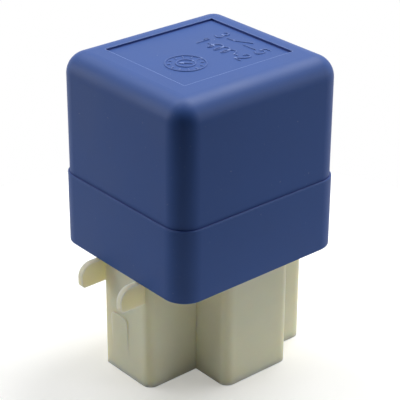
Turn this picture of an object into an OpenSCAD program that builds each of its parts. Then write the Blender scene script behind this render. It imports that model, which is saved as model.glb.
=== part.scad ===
// Four-blade automotive relay with one make contact.
// A moulded cover snaps over a moulded base. The base carries a cross-shaped
// connector shroud below and the electromagnet with its hinged armature above.
// Origin: on the cover's axis, in the plane of the connector's mouth. +Z is up.
// Current enters at blade 3, runs through the pigtail and the contact spring,
// and leaves by the fixed contact and blade 5. The coil sits between 1 and 2.

/* [Cover] */
// Cover size along X, over the skirt band
cover_x = 28; // [24:0.5:36]
// Cover size along Y, over the skirt band
cover_y = 26; // [22:0.5:32]
// Cover height from the skirt's lower edge to the top
cover_h = 27.5; // [24:0.5:36]
// Height of the thicker skirt band
band_h = 10.45; // [7:0.05:14]
// How far the band stands proud of the wall above it
band_step = 0.25; // [0.15:0.05:0.5]
// Outer radius of the band's upright corners
corner_r = 3.3; // [2.6:0.1:4]
// Side wall thickness
wall = 1.2; // [0.9:0.05:1.5]
// Top wall thickness, under the label panel
top_wall = 1.5; // [1:0.1:2]
// Small bevel along the band's two edges
edge_bevel = 0.12; // [0.05:0.01:0.2]
// Label panel: distance of its -X edge from the cover's face
panel_left_in = 5.3; // [4:0.05:7]
// Label panel: distance of its +X edge from the cover's face
panel_right_in = 4.35; // [4:0.05:7]
// Label panel: distance of its -Y edge from the cover's face
panel_front_in = 5.65; // [4:0.05:7]
// Label panel: distance of its +Y edge from the cover's face
panel_back_in = 4.1; // [4:0.05:7]
// Depth of the label panel
panel_deep = 0.3; // [0.15:0.05:0.5]

/* [Connector] */
// Depth of the connector shroud below the cover
conn_h = 16.5; // [13:0.5:20]
// Shroud wall thickness
conn_wall = 1.2; // [0.9:0.05:1.4]
// Set-back of the shroud's -X face from the cover's face
left_inset = 0.9; // [0.8:0.1:1.6]
// Set-back of the shroud's +X face
right_inset = 1.4; // [1:0.1:2]
// Set-back of the shroud's -Y face
front_inset = 1.6; // [1.4:0.1:2.2]
// Set-back of the shroud's +Y face
back_inset = 2.0; // [1.4:0.1:2.4]
// Width of the two side arms of the cross
side_arm_w = 9.4; // [8.9:0.1:11]
// Middle of the side arms in Y
side_arm_y = -0.4; // [-0.8:0.1:0.4]
// Width of the front and back arms
end_arm_w = 11.4; // [9.4:0.1:12.4]
// Middle of the front and back arms in X
end_arm_x = 0.9; // [0:0.1:1.2]
// Extra width of the +X arm, which keys the plug
key_w = 2.7; // [1.5:0.1:3.2]
// Radius of the shroud's outer corners
arm_r = 1.4; // [0.8:0.1:1.8]
// Radius of the one outer corner that carries the far fin
fin_corner_r = 0.3; // [0.1:0.1:0.8]
// Radius of the corners inside the shroud
arm_in_r = 0.4; // [0.2:0.1:0.8]

/* [Lock features] */
// How far the two lock fins stand out from the -X arm
fin_out = 3.85; // [2.5:0.05:4.5]
// Height of a lock fin
fin_h = 3.35; // [3.1:0.05:5]
// Thickness of a lock fin
fin_t = 0.9; // [0.7:0.1:1.5]
// Set-back of the near fin from the side arm's -Y face
fin_front_in = 0.8; // [0.6:0.1:1.5]
// Height of the lock ramp's shoulder above the mouth
ramp_top = 9.05; // [7:0.05:11]
// Length of the lock ramp
ramp_len = 6; // [4:0.5:7]
// Height of the lock ramp at its shoulder
ramp_out = 0.25; // [0.2:0.05:0.6]
// Width of the lock ramp
ramp_w = 3.4; // [2:0.1:4.4]
// How far the ramp's middle lies off the side arms' middle in Y
ramp_shift = 1.45; // [-1:0.05:1.5]

/* [Blades] */
// Blade width
blade_w = 6.3; // [4.8:0.1:6.3]
// Blade and terminal stock thickness
blade_t = 0.8; // [0.6:0.05:0.8]
// How far the blade tips stay inside the mouth
tip_in = 4; // [2:0.5:6]
// Distance of the coil blades' middle plane from the cover's side face
coil_blade_in = 5; // [4.8:0.1:5.6]
// Distance of the contact blades' middle plane from the cover's end face
contact_blade_in = 5.4; // [5.2:0.1:5.8]

/* [Electromagnet] */
// Base plate thickness
plate_t = 3.9; // [3.5:0.1:5]
// Yoke sheet thickness
yoke_t = 1.6; // [1.2:0.1:2]
// Core diameter
core_d = 6; // [5:0.1:7]
// Pole head diameter
pole_d = 8.6; // [7.5:0.1:9.5]
// Pole head thickness
pole_t = 1.3; // [1:0.1:1.6]
// Bobbin wall and flange thickness
bobbin_t = 1; // [0.7:0.1:1.2]
// Free height between the armature's seat and the cover's ceiling
head_room = 4.5; // [4.2:0.1:6]
// Room behind the yoke for the spring and terminal 3
back_room = 3.35; // [3.2:0.05:4]

/* [Armature and contacts] */
// Armature sheet thickness
arm_t = 1.5; // [1.2:0.1:1.6]
// Angle by which the armature stands open at rest
open_deg = 3; // [2:0.1:3.5]
// Contact spring thickness
leaf_t = 0.3; // [0.2:0.05:0.4]
// Diameter of the contact heads
contact_d = 3.2; // [2.6:0.1:3.6]
// Thickness of each contact head
contact_t = 0.8; // [0.6:0.1:1]
// Diameter of the return spring's coils
spring_d = 2.2; // [1.8:0.1:2.4]
// Return spring wire diameter
spring_wire = 0.36; // [0.3:0.02:0.4]
// Number of turns in the return spring
spring_turns = 8; // [6:1:10]
// Pigtail diameter
pigtail_d = 1.3; // [1:0.1:1.5]

/* [Hidden] */
$fn = 64;

// Clearances
fit = 0.05;          // pressed and snapped pieces, each side
skirt_gap = 0.1;     // base plate to skirt
seat_gap = 0.03;     // armature to its seat, pole and stops when it lies on them
coil_gap = 0.05;     // bobbin flange to the yoke's inner bend
tag_gap = 2.2;       // bobbin flange to a coil terminal
pivot_gap = 0.12;    // armature to the yoke's ears
over = 1;            // how far a cutting body runs past what it cuts, and a joined one into it

// Cover
skirt_z = conn_h;
top_z = skirt_z + cover_h;
ceiling_z = top_z - top_wall;
half_x = cover_x / 2;
half_y = cover_y / 2;
upper_r = corner_r - band_step;
panel_x0 = panel_left_in - half_x;
panel_x1 = half_x - panel_right_in;
panel_y0 = panel_front_in - half_y;
panel_y1 = half_y - panel_back_in;
inner_y = half_y - band_step - wall;

// Base plate
plate_x = half_x - wall - skirt_gap;
plate_y = half_y - wall - skirt_gap;
plate_r = corner_r - wall - skirt_gap;
plate_low = skirt_z - skirt_gap;
plate_top = plate_low + plate_t;
ledge_z = plate_top + fit;
mouth_top = plate_low + 0.5;
mouth_lap = 0.01;
pocket_deep = 1.8;
pocket_rim = 1.1;
pocket_r = 0.8;
lug_w = 5;
lug_out = 0.35;
lug_h = 1.2;
lug_z = plate_low + 1.6;
lug_side = 6.2;

// Connector cross
left_x = left_inset - half_x;
right_x = half_x - right_inset;
front_y = front_inset - half_y;
back_y = half_y - back_inset;
arm_y0 = side_arm_y - side_arm_w / 2;
arm_y1 = side_arm_y + side_arm_w / 2;
arm_x0 = end_arm_x - end_arm_w / 2;
arm_x1 = end_arm_x + end_arm_w / 2;
fin_low = plate_low - fin_h;
fin_tip = left_x - fin_out;
fin_root = 0.15;
fin_r = (fin_out + fin_root) / 2;
fin_tip_r = 0.7;
fin_lap = 0.1;
fin_y = [arm_y0 + fin_front_in, arm_y1 - fin_lap];
ramp_r = 0.8;
ramp_y0 = side_arm_y + ramp_shift - ramp_w / 2;
ramp_y1 = side_arm_y + ramp_shift + ramp_w / 2;
lead_h = 2.5;
lead_in = 0.35;

// Terminals
coil_x = half_x - coil_blade_in;
contact_y = half_y - contact_blade_in;
shoulder_z = plate_top - 1.3;
tag_w = 2.2;
tag_top = plate_top + 6.2;
solder_r = 0.9;
solder_y = side_arm_y + tag_w / 2 - 0.15;
solder_z = plate_top + 4.5;
wire_r = 0.13;
tower_h = 1.5;
tower_wall = 0.7;
bevel_len = 1.4;
bevel_side = 1.1;
bevel_tip = 0.3;

// Electromagnet, from the base plate up
yoke_back = back_room - inner_y;
yoke_front = yoke_back + yoke_t;
yoke_bend = 0.4;
seat_z = ceiling_z - head_room;
limb_top = plate_top + yoke_t;
bobbin_y = -yoke_front - yoke_bend - coil_gap;
bobbin_bore = core_d + 2 * fit;
flange_r = 1;
bobbin_x = coil_x - blade_t / 2 - tag_gap;
yoke_x = bobbin_x - 0.4;
limb_end = bobbin_y - 0.55;
pole_top = seat_z - seat_gap;
bobbin_top = pole_top - pole_t;
coil_r = min(bobbin_x, bobbin_y) - 0.2;
coil_edge = 0.3;
stake_d = core_d - 1.4;
stake_head_d = stake_d + 1;
stake_head_t = 0.6;
turned_edge = 0.2;
post_x = yoke_x - 1.7;
post_y = limb_end - 1.5;
post_r = 0.9;
horn_w = 1.4;
horn_len = 1.6;
horn_out = 1;
horn_y = side_arm_y + 2;
ear_w = 1.1;
ear_h = 1.2;

// Armature; drawn lying on the pole, then turned open about the yoke's edge
pivot_y = yoke_back;
pivot_z = seat_z;
arm_z = seat_z + seat_gap;
arm_x = yoke_x - 0.5;
arm_front = bobbin_y - 0.55;
arm_rear = yoke_back - 0.3;
tail_w = 3;
sheet_r = 0.6;
tail_r = 0.4;
spring_y = yoke_back - 1.7;
tail_end = spring_y - 0.8;
hook_hole_r = 0.5;
leaf_z = arm_z + arm_t;
contact_at = inner_y - 0.5 - contact_d / 2;
leaf_front_w = 4.4;
leaf_back_w = 5.4;
leaf_rear = yoke_front + 0.6;
leaf_side = 0.9;
leaf_rim = 0.1;
rivet_at = [1.7, -1.2];
leaf_taper = rivet_at[1] + 2.5;
rivet_r = 0.8;
rivet_head_r = 1.25;
rivet_head_t = 0.4;
face_z = leaf_z - contact_t;
tab_top = face_z - seat_gap - contact_t;
contact_shank_r = 0.9;
contact_tail_r = 1.15;
contact_tail_t = 0.35;
head_edge = 0.25;
finger_x = arm_x - 1.1;
finger_w = 1.8;
finger_lap = 0.7;
finger_t = 0.9;
finger_deep = 1.2;
finger_gap = 0.2;
open_rise = (arm_front - pivot_y) * sin(open_deg) + (arm_z + arm_t - pivot_z) * cos(open_deg);
stop_z = pivot_z + open_rise + seat_gap;

// Terminal 3, the yoke's lanced lug, spring and pigtail
upright_x0 = 2.2;
upright_x1 = yoke_x - 0.1;
upright_y = yoke_back - blade_t / 2;
upright_top = seat_z - 1.6;
upright_mid = (upright_x0 + upright_x1) / 2;
jog_low = plate_top - 2.1;
jog_high = plate_top - 0.7;
jog_slant = 0.3;
tab_bend = 0.3;
joint_z = plate_top + 4.2;
joint_r = 0.9;
joint_head_r = 1.4;
joint_head_t = 0.5;
lug_low = plate_top + 5.7;
lug_t = 0.8;
lug_half = 1.2;

// ---------- shared forms ----------

// Rectangle from corner to corner with round corners
module round_rect(x, y, r)
{
    translate([x[0] + r, y[0]])
        square([x[1] - x[0] - 2 * r, y[1] - y[0]]);
    translate([x[0], y[0] + r])
        square([x[1] - x[0], y[1] - y[0] - 2 * r]);
    for (cx = [x[0] + r, x[1] - r], cy = [y[0] + r, y[1] - r])
        translate([cx, cy])
            circle(r);
}

// Block whose rim follows one profile all round. The profile's X runs out from
// the corner centres at +-cx, +-cy, and its Y is the height. h is the core's height.
module rimmed_block(cx, cy, h)
{
    translate([-cx, -cy, 0])
        cube([2 * cx, 2 * cy, h]);
    for (side = [0, 1])
    {
        rotate([0, 0, 180 * side])
            translate([-cx, cy, 0])
                rotate([90, 0, 90])
                    linear_extrude(2 * cx)
                        children();
        rotate([0, 0, 180 * side])
            translate([cx, cy, 0])
                rotate([90, 0, 0])
                    linear_extrude(2 * cy)
                        children();
    }
    for (corner = [[1, 1, 0], [-1, 1, 90], [-1, -1, 180], [1, -1, 270]])
        translate([corner[0] * cx, corner[1] * cy, 0])
            rotate([0, 0, corner[2]])
                rotate_extrude(angle = 90)
                    children();
}

// Wall profile with a quarter-round top
module domed_profile(r, h)
{
    square([r, h - r]);
    intersection()
    {
        translate([0, h - r])
            circle(r);
        translate([0, h - r])
            square([r, r]);
    }
}

// Flat strip of thickness t, bent along a path in the Y-Z plane, from x[0] to x[1]
module strip(x, path)
{
    translate([x[0], 0, 0])
        rotate([90, 0, 90])
            linear_extrude(x[1] - x[0])
                polygon(path);
}

// Blade pointing down, its middle plane on Y = 0, its tip on Z = 0
module blade(w, length)
{
    intersection()
    {
        translate([-w / 2, 0, 0])
            rotate([90, 0, 90])
                linear_extrude(w)
                    polygon([[-bevel_tip / 2, 0], [bevel_tip / 2, 0], [blade_t / 2, bevel_len],
                             [blade_t / 2, length], [-blade_t / 2, length], [-blade_t / 2, bevel_len]]);
        translate([0, blade_t, 0])
            rotate([90, 0, 0])
                linear_extrude(2 * blade_t)
                    polygon([[bevel_side - w / 2, 0], [w / 2 - bevel_side, 0], [w / 2, bevel_len],
                             [w / 2, length], [-w / 2, length], [-w / 2, bevel_len]]);
    }
}

// Round wire swept along a list of points
function unit(v) = v / norm(v);
function along(p, i) = unit(p[min(i + 1, len(p) - 1)] - p[max(i - 1, 0)]);
function square_to(v, t) = unit(v - (v * t) * t);
function ring(c, t, n, r, sides) =
    [for (k = [0 : sides - 1]) c + r * (cos(360 * k / sides) * n + sin(360 * k / sides) * cross(t, n))];
module wire(path, r, start, sides = 8)
{
    last = len(path) - 1;
    normals = [for (i = 0, n = square_to(start, along(path, 0)); i <= last;
                    i = i + 1, n = i <= last ? square_to(n, along(path, i)) : n) n];
    rings = [for (i = [0 : last]) each ring(path[i], along(path, i), normals[i], r, sides)];
    walls = [for (i = [0 : last - 1], k = [0 : sides - 1])
                let (a = i * sides + k, b = i * sides + (k + 1) % sides)
                each [[a, b + sides, b], [a, a + sides, b + sides]]];
    ends = [[for (k = [0 : sides - 1]) k],
            [for (k = [0 : sides - 1]) last * sides + sides - 1 - k]];
    polyhedron(points = rings, faces = concat(walls, ends));
}

// Turns what lies on the pole into its open place
module opened()
{
    translate([0, pivot_y, pivot_z])
        rotate([open_deg, 0, 0])
            translate([0, -pivot_y, -pivot_z])
                children();
}

// ---------- housing ----------

module band_profile(h)
{
    polygon([[0, 0], [corner_r - edge_bevel, 0], [corner_r, edge_bevel],
             [corner_r, h - edge_bevel], [corner_r - edge_bevel, h], [0, h]]);
}

// Snap lugs of the base, or the pockets that take them when grown by extra
module snap_lugs(extra)
{
    deep = over + lug_out + extra;
    for (side = [-1, 1], at = [-lug_side, lug_side])
        translate([at, side * (plate_y - over + deep / 2), lug_z + lug_h / 2])
            cube([lug_w + 2 * extra, deep, lug_h + 2 * extra], center = true);
}

module cover()
{
    color("royalblue")
    difference()
    {
        translate([0, 0, skirt_z])
        union()
        {
            rimmed_block(half_x - corner_r, half_y - corner_r, band_h)
                band_profile(band_h);
            rimmed_block(half_x - corner_r, half_y - corner_r, cover_h)
                domed_profile(upper_r, cover_h);
        }
        // room for the base plate inside the skirt
        translate([0, 0, skirt_z - over])
            linear_extrude(ledge_z - skirt_z + over)
                round_rect([wall - half_x, half_x - wall], [wall - half_y, half_y - wall],
                           corner_r - wall);
        // room for the mechanism
        translate([0, 0, skirt_z])
            rimmed_block(half_x - corner_r, half_y - corner_r, cover_h - top_wall)
                domed_profile(upper_r - wall, cover_h - top_wall);
        snap_lugs(fit);
        translate([panel_x0, panel_y0, top_z - panel_deep])
            cube([panel_x1 - panel_x0, panel_y1 - panel_y0, panel_deep + over]);
    }
}

// Outline of the cross, or of its inside when set in by a wall
module cross_outline(set_in, r, far_r)
{
    round_rect([left_x + set_in, right_x - set_in], [arm_y0 + set_in, arm_y1 - set_in], r);
    round_rect([left_x + set_in, left_x + set_in + 3 * r],
               [arm_y1 - set_in - 3 * r, arm_y1 - set_in], far_r);
    round_rect([arm_x0 + set_in, right_x - set_in], [arm_y0 - key_w + set_in, arm_y1 - set_in], r);
    round_rect([arm_x0 + set_in, arm_x1 - set_in], [front_y + set_in, back_y - set_in], r);
}

// Lock fin seen from the side: a round top, a flat foot and a small round at the foot's
// tip. Its root lies inside the arm.
module fin_outline()
{
    translate([fin_tip + fin_r, plate_low - fin_r])
        circle(fin_r);
    translate([fin_tip, fin_low + fin_tip_r])
        square([2 * fin_r, fin_h - fin_r - fin_tip_r]);
    translate([fin_tip + fin_tip_r, fin_low + fin_tip_r])
        circle(fin_tip_r);
    translate([fin_tip + fin_tip_r, fin_low])
        square([fin_out - fin_tip_r + conn_wall / 2, fin_tip_r]);
}

module lock_fins()
{
    for (y = fin_y)
        translate([0, y + fin_t, 0])
            rotate([90, 0, 0])
                linear_extrude(fin_t)
                    fin_outline();
    // the far fin stands just past the arm's side and runs back along it
    translate([left_x, fin_y[1], fin_low])
        cube([conn_wall * 2, fin_t, fin_h]);
}

// Low wedge with a square shoulder above, its upper corners rounded
module lock_ramp()
{
    root = left_x + conn_wall / 2;
    foot = ramp_top - ramp_len;
    intersection()
    {
        translate([0, ramp_y1, 0])
            rotate([90, 0, 0])
                linear_extrude(ramp_w)
                    polygon([[root, foot], [left_x, foot], [left_x - ramp_out, ramp_top],
                             [root, ramp_top]]);
        translate([left_x - ramp_out, 0, 0])
            rotate([90, 0, 90])
                linear_extrude(ramp_out + conn_wall / 2)
                    round_rect([ramp_y0, ramp_y1], [foot - ramp_r, ramp_top], ramp_r);
    }
}

// Upright walls that steady each terminal above the plate
module towers()
{
    for (side = [-1, 1])
        translate([side * coil_x, side_arm_y, plate_top + (tower_h - over) / 2])
            cube([blade_t + 2 * tower_wall, tag_w + 2 * tower_wall, tower_h + over], center = true);
    translate([0, contact_y, plate_top + (tower_h - over) / 2])
        cube([2 * tag_w + 2 * tower_wall, blade_t + 2 * tower_wall, tower_h + over], center = true);
}

// Slots that the four terminals are pushed into from below
module terminal_slots()
{
    shoulder_h = shoulder_z + fit - mouth_top + over;
    tag_h = plate_t + tower_h;
    slot_t = blade_t + 2 * fit;
    for (side = [-1, 1])
    {
        translate([side * coil_x - slot_t / 2, side_arm_y - blade_w / 2 - fit, mouth_top - over])
            cube([slot_t, blade_w + 2 * fit, shoulder_h]);
        translate([side * coil_x - slot_t / 2, side_arm_y - tag_w / 2 - fit, shoulder_z - over])
            cube([slot_t, tag_w + 2 * fit, tag_h]);
        translate([end_arm_x - blade_w / 2 - fit, side * contact_y - slot_t / 2, mouth_top - over])
            cube([blade_w + 2 * fit, slot_t, shoulder_h]);
    }
    translate([-tag_w - fit, contact_y - slot_t / 2, shoulder_z - over])
        cube([2 * tag_w + 2 * fit, slot_t, tag_h]);
    translate([upright_x0 - fit, upright_y - slot_t / 2, jog_low - blade_t])
        cube([upright_x1 - upright_x0 + 2 * fit, slot_t - contact_y - upright_y, plate_t]);
}

// Shallow pockets under the plate, in the corners beside the cross
module core_outs()
{
    left = [pocket_rim - plate_x, arm_x0 - pocket_rim];
    right = [arm_x1 + pocket_rim, plate_x - pocket_rim];
    far = [arm_y1 + fin_t + pocket_rim, plate_y - pocket_rim];
    near = [pocket_rim - plate_y, arm_y0 - pocket_rim];
    for (place = [[left, far], [right, far], [left, near]])
        translate([0, 0, plate_low - over])
            linear_extrude(pocket_deep + over)
                round_rect(place[0], place[1], pocket_r);
}

module base()
{
    color("beige")
    difference()
    {
        union()
        {
            translate([0, 0, plate_low])
                linear_extrude(plate_t)
                    round_rect([-plate_x, plate_x], [-plate_y, plate_y], plate_r);
            linear_extrude(plate_low + mouth_lap)
                cross_outline(0, arm_r, fin_corner_r);
            lock_fins();
            lock_ramp();
            snap_lugs(0);
            towers();
            for (side = [-1, 1])
                translate([side * post_x, post_y, plate_top - over])
                    cylinder(h = yoke_t + over, r = post_r);
        }
        translate([0, 0, -over])
            linear_extrude(mouth_top + over)
                cross_outline(conn_wall, arm_in_r, arm_in_r);
        terminal_slots();
        core_outs();
        // the core's staked end sinks into the plate
        translate([0, 0, plate_top - stake_head_t - fit])
            cylinder(h = stake_head_t + over, d = stake_head_d + 4 * fit);
        // lead at the front arm's key side
        translate([arm_x1, front_y - over, 0])
            rotate([-90, 0, 0])
                linear_extrude(arm_y0 - key_w - front_y + over)
                    polygon([[-lead_in, over], [over, over], [over, -lead_h], [0, -lead_h],
                             [-lead_in, 0]]);
    }
}

// ---------- terminals ----------

module coil_terminal(side)
{
    color("silver")
    union()
    {
        translate([side * coil_x, side_arm_y, tip_in])
            rotate([0, 0, 90])
                blade(blade_w, shoulder_z - tip_in);
        translate([side * coil_x - blade_t / 2, side_arm_y - tag_w / 2, shoulder_z - over])
            cube([blade_t, tag_w, tag_top - shoulder_z + over]);
    }
}

module terminal_1() coil_terminal(-1);
module terminal_2() coil_terminal(1);

// Blade 3 steps back inside the plate and runs up the yoke's back
module terminal_3()
{
    front = -contact_y + blade_t / 2;
    color("silver")
    difference()
    {
        union()
        {
            translate([end_arm_x, -contact_y, tip_in])
                blade(blade_w, shoulder_z - tip_in);
            strip([upright_x0, upright_x1],
                  [[front - blade_t, jog_low - blade_t], [front, jog_low - blade_t],
                   [front, jog_low], [yoke_back, jog_high], [yoke_back, upright_top],
                   [yoke_back - blade_t, upright_top], [yoke_back - blade_t, jog_high - jog_slant],
                   [front - blade_t, jog_low - jog_slant]]);
        }
        rivet_hole();
    }
}

module rivet_hole()
{
    translate([upright_mid, yoke_back - blade_t - over, joint_z])
        rotate([-90, 0, 0])
            cylinder(h = blade_t + yoke_t + 2 * over, r = joint_r + fit / 2);
}

// Blade 5 runs straight up and bends out into a tab under the moving contact
module terminal_5()
{
    outer = contact_y + blade_t / 2;
    bend_z = tab_top - tab_bend - blade_t;
    bend_out = tab_bend + blade_t;
    color("silver")
    difference()
    {
        union()
        {
            translate([end_arm_x, contact_y, tip_in])
                blade(blade_w, shoulder_z - tip_in);
            translate([-tag_w, contact_y - blade_t / 2, shoulder_z - over])
                cube([2 * tag_w, blade_t, bend_z - shoulder_z + over]);
            translate([-tag_w, outer + tab_bend, bend_z])
                rotate([90, 0, 90])
                    linear_extrude(2 * tag_w)
                        intersection()
                        {
                            difference()
                            {
                                circle(bend_out);
                                circle(tab_bend);
                            }
                            translate([-bend_out, 0])
                                square(bend_out);
                        }
            translate([-tag_w, outer + tab_bend, tab_top - blade_t])
                cube([2 * tag_w, contact_at + contact_d / 2 - outer - tab_bend, blade_t]);
        }
        translate([0, contact_at, tab_top - blade_t - over])
            cylinder(h = blade_t + 2 * over, r = contact_shank_r + fit / 2);
    }
}

// ---------- electromagnet ----------

// L-shaped sheet seen along X
module yoke_outline()
{
    r = yoke_t + yoke_bend;
    difference()
    {
        union()
        {
            translate([yoke_back + r, plate_top])
                square([limb_end - yoke_back - r, yoke_t]);
            translate([yoke_back, plate_top + r])
                square([yoke_t, seat_z - plate_top - r]);
            intersection()
            {
                translate([yoke_back + r, plate_top + r])
                    circle(r);
                translate([yoke_back, plate_top])
                    square(r);
            }
        }
        translate([yoke_back + r, plate_top + r])
            circle(yoke_bend);
    }
}

module yoke()
{
    color("lightsteelblue")
    difference()
    {
        union()
        {
            translate([-yoke_x, 0, 0])
                rotate([90, 0, 90])
                    linear_extrude(2 * yoke_x)
                        yoke_outline();
            for (side = [-1, 1])
                translate([side * (yoke_x - ear_w / 2) - ear_w / 2, yoke_back, seat_z - over])
                    cube([ear_w, yoke_t, ear_h + over]);
            // spring lug, lanced out of the upright limb
            translate([-lug_half, tail_end, lug_low])
                cube([2 * lug_half, yoke_back - tail_end + yoke_t / 3, lug_t]);
        }
        translate([-lug_half, yoke_back - over, lug_low + lug_t])
            cube([2 * lug_half, yoke_t + 2 * over, yoke_back - tail_end]);
        translate([0, spring_y, lug_low - over])
            cylinder(h = lug_t + 2 * over, r = hook_hole_r);
        translate([0, 0, plate_top - over])
            cylinder(h = yoke_t + 2 * over, d = stake_d + fit);
        for (side = [-1, 1])
            translate([side * post_x, post_y, plate_top - over])
                cylinder(h = yoke_t + 2 * over, r = post_r + fit);
        rivet_hole();
    }
}

module core()
{
    color("gainsboro")
    rotate_extrude()
        polygon([[0, plate_top - stake_head_t],
                 [stake_head_d / 2 - turned_edge, plate_top - stake_head_t],
                 [stake_head_d / 2, plate_top - turned_edge], [stake_head_d / 2, plate_top],
                 [stake_d / 2, plate_top], [stake_d / 2, limb_top],
                 [core_d / 2, limb_top], [core_d / 2, bobbin_top],
                 [pole_d / 2, bobbin_top], [pole_d / 2, pole_top - turned_edge],
                 [pole_d / 2 - turned_edge, pole_top], [0, pole_top]]);
}

module flange(z)
{
    translate([0, 0, z])
        linear_extrude(bobbin_t)
            round_rect([-bobbin_x, bobbin_x], [-bobbin_y, bobbin_y], flange_r);
}

// Two hooked fingers on the upper flange stop the armature in its open place
module stop_fingers()
{
    near = arm_front + finger_gap;
    for (side = [-1, 1])
        strip([side * finger_x - finger_w / 2, side * finger_x + finger_w / 2],
              [[near, bobbin_top - bobbin_t], [near + finger_deep, bobbin_top - bobbin_t],
               [near + finger_deep, stop_z + finger_t], [arm_front - finger_lap, stop_z + finger_t],
               [arm_front - finger_lap, stop_z], [near, stop_z]]);
}

module bobbin()
{
    color("whitesmoke")
    difference()
    {
        union()
        {
            translate([0, 0, limb_top])
                cylinder(h = bobbin_top - limb_top, d = bobbin_bore + 2 * bobbin_t);
            flange(limb_top);
            flange(bobbin_top - bobbin_t);
            stop_fingers();
            // horns that lead the wire ends out to the coil terminals
            for (side = [-1, 1])
                translate([side * (bobbin_x + horn_out - horn_w / 2) - horn_w / 2, horn_y, limb_top])
                    cube([horn_w, horn_len, bobbin_t]);
        }
        translate([0, 0, limb_top - over])
            cylinder(h = bobbin_top - limb_top + 2 * over, d = bobbin_bore);
    }
}

module coil()
{
    low = limb_top + bobbin_t;
    high = bobbin_top - bobbin_t;
    tube_r = bobbin_bore / 2 + bobbin_t + fit;
    color("saddlebrown")
    rotate_extrude()
        polygon([[tube_r, low + fit], [coil_r - coil_edge, low + fit],
                 [coil_r, low + fit + coil_edge], [coil_r, high - fit - coil_edge],
                 [coil_r - coil_edge, high - fit], [tube_r, high - fit]]);
}

// Wire end from the winding over the bobbin's horn to the solder on a coil terminal
module lead_wire(side)
{
    color("peru")
    wire([for (p = [[coil_r - 0.25, solder_y + 0.7, solder_z - 1.2],
                    [coil_r + 0.1, solder_y + 0.7, solder_z - 1.1],
                    [bobbin_x + 0.4, solder_y + 0.5, solder_z - 0.6],
                    [bobbin_x + 1, solder_y + 0.3, solder_z - 0.2],
                    [coil_x - blade_t / 2 - 0.5, solder_y + 0.1, solder_z],
                    [coil_x - blade_t / 2 - 0.2, solder_y, solder_z]])
              [side * p[0], p[1], p[2]]],
         wire_r, [0, 0, 1], 6);
}

module lead_wire_1() lead_wire(-1);
module lead_wire_2() lead_wire(1);

module solder(side)
{
    color("gainsboro")
    difference()
    {
        translate([side * coil_x, solder_y, solder_z])
            sphere(r = solder_r);
        translate([side * coil_x - blade_t / 2, side_arm_y - tag_w / 2, plate_top])
            cube([blade_t, tag_w, tag_top]);
    }
}

module solder_1() solder(-1);
module solder_2() solder(1);

// ---------- armature and contacts ----------

module armature()
{
    notch = yoke_x - ear_w - pivot_gap;
    color("slategray")
    opened()
    difference()
    {
        translate([0, 0, arm_z])
            linear_extrude(arm_t)
                difference()
                {
                    union()
                    {
                        round_rect([-arm_x, arm_x], [yoke_front + pivot_gap, arm_front], sheet_r);
                        translate([-notch, arm_rear])
                            square([2 * notch, yoke_front - arm_rear + 2 * over]);
                        round_rect([-tail_w / 2, tail_w / 2], [tail_end, yoke_back + over], tail_r);
                    }
                    translate([0, spring_y])
                        circle(hook_hole_r);
                }
        for (side = [-1, 1])
            translate([side * rivet_at[0], rivet_at[1], arm_z - over])
                cylinder(h = arm_t + 2 * over, r = rivet_r + fit / 2);
    }
}

module contact_spring()
{
    color("goldenrod")
    opened()
    translate([0, 0, leaf_z])
        linear_extrude(leaf_t)
            difference()
            {
                union()
                {
                    round_rect([-leaf_back_w / 2, leaf_back_w / 2], [leaf_rear, rivet_at[1] + 3.4],
                               sheet_r);
                    round_rect([0, upright_mid + leaf_side], [leaf_rear, leaf_rear + 2.6], sheet_r);
                    polygon([[-leaf_back_w / 2, leaf_taper], [leaf_back_w / 2, leaf_taper],
                             [leaf_front_w / 2, arm_front], [leaf_front_w / 2, contact_at],
                             [-leaf_front_w / 2, contact_at], [-leaf_front_w / 2, arm_front]]);
                    translate([0, contact_at])
                        intersection()
                        {
                            circle(leaf_front_w / 2);
                            translate([-leaf_front_w / 2, 0])
                                square([leaf_front_w, contact_d / 2 + leaf_rim]);
                        }
                }
                for (side = [-1, 1])
                    translate([side * rivet_at[0], rivet_at[1]])
                        circle(rivet_r + fit / 2);
                translate([0, contact_at])
                    circle(contact_shank_r + fit / 2);
            }
}

module contact_spring_rivets()
{
    head_z = arm_t + leaf_t;
    color("silver")
    opened()
    for (side = [-1, 1])
        translate([side * rivet_at[0], rivet_at[1], arm_z])
            rotate_extrude()
                polygon([[0, 0], [rivet_r, 0], [rivet_r, head_z], [rivet_head_r, head_z],
                         [rivet_head_r - 0.15, head_z + rivet_head_t], [0, head_z + rivet_head_t]]);
}

// Rivet contact: head at z 0 to contact_t, shank through a sheet of thickness t
module contact_rivet(t)
{
    rotate_extrude()
        polygon([[0, 0], [contact_d / 2 - head_edge, 0], [contact_d / 2, head_edge],
                 [contact_d / 2, contact_t], [contact_shank_r, contact_t],
                 [contact_shank_r, contact_t + t],
                 [contact_tail_r, contact_t + t], [contact_tail_r - 0.1, contact_t + t + contact_tail_t],
                 [0, contact_t + t + contact_tail_t]]);
}

module moving_contact()
{
    color("lightgray")
    opened()
    translate([0, contact_at, face_z])
        contact_rivet(leaf_t);
}

module fixed_contact()
{
    color("lightgray")
    translate([0, contact_at, tab_top + contact_t])
        mirror([0, 0, 1])
            contact_rivet(blade_t);
}

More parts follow.
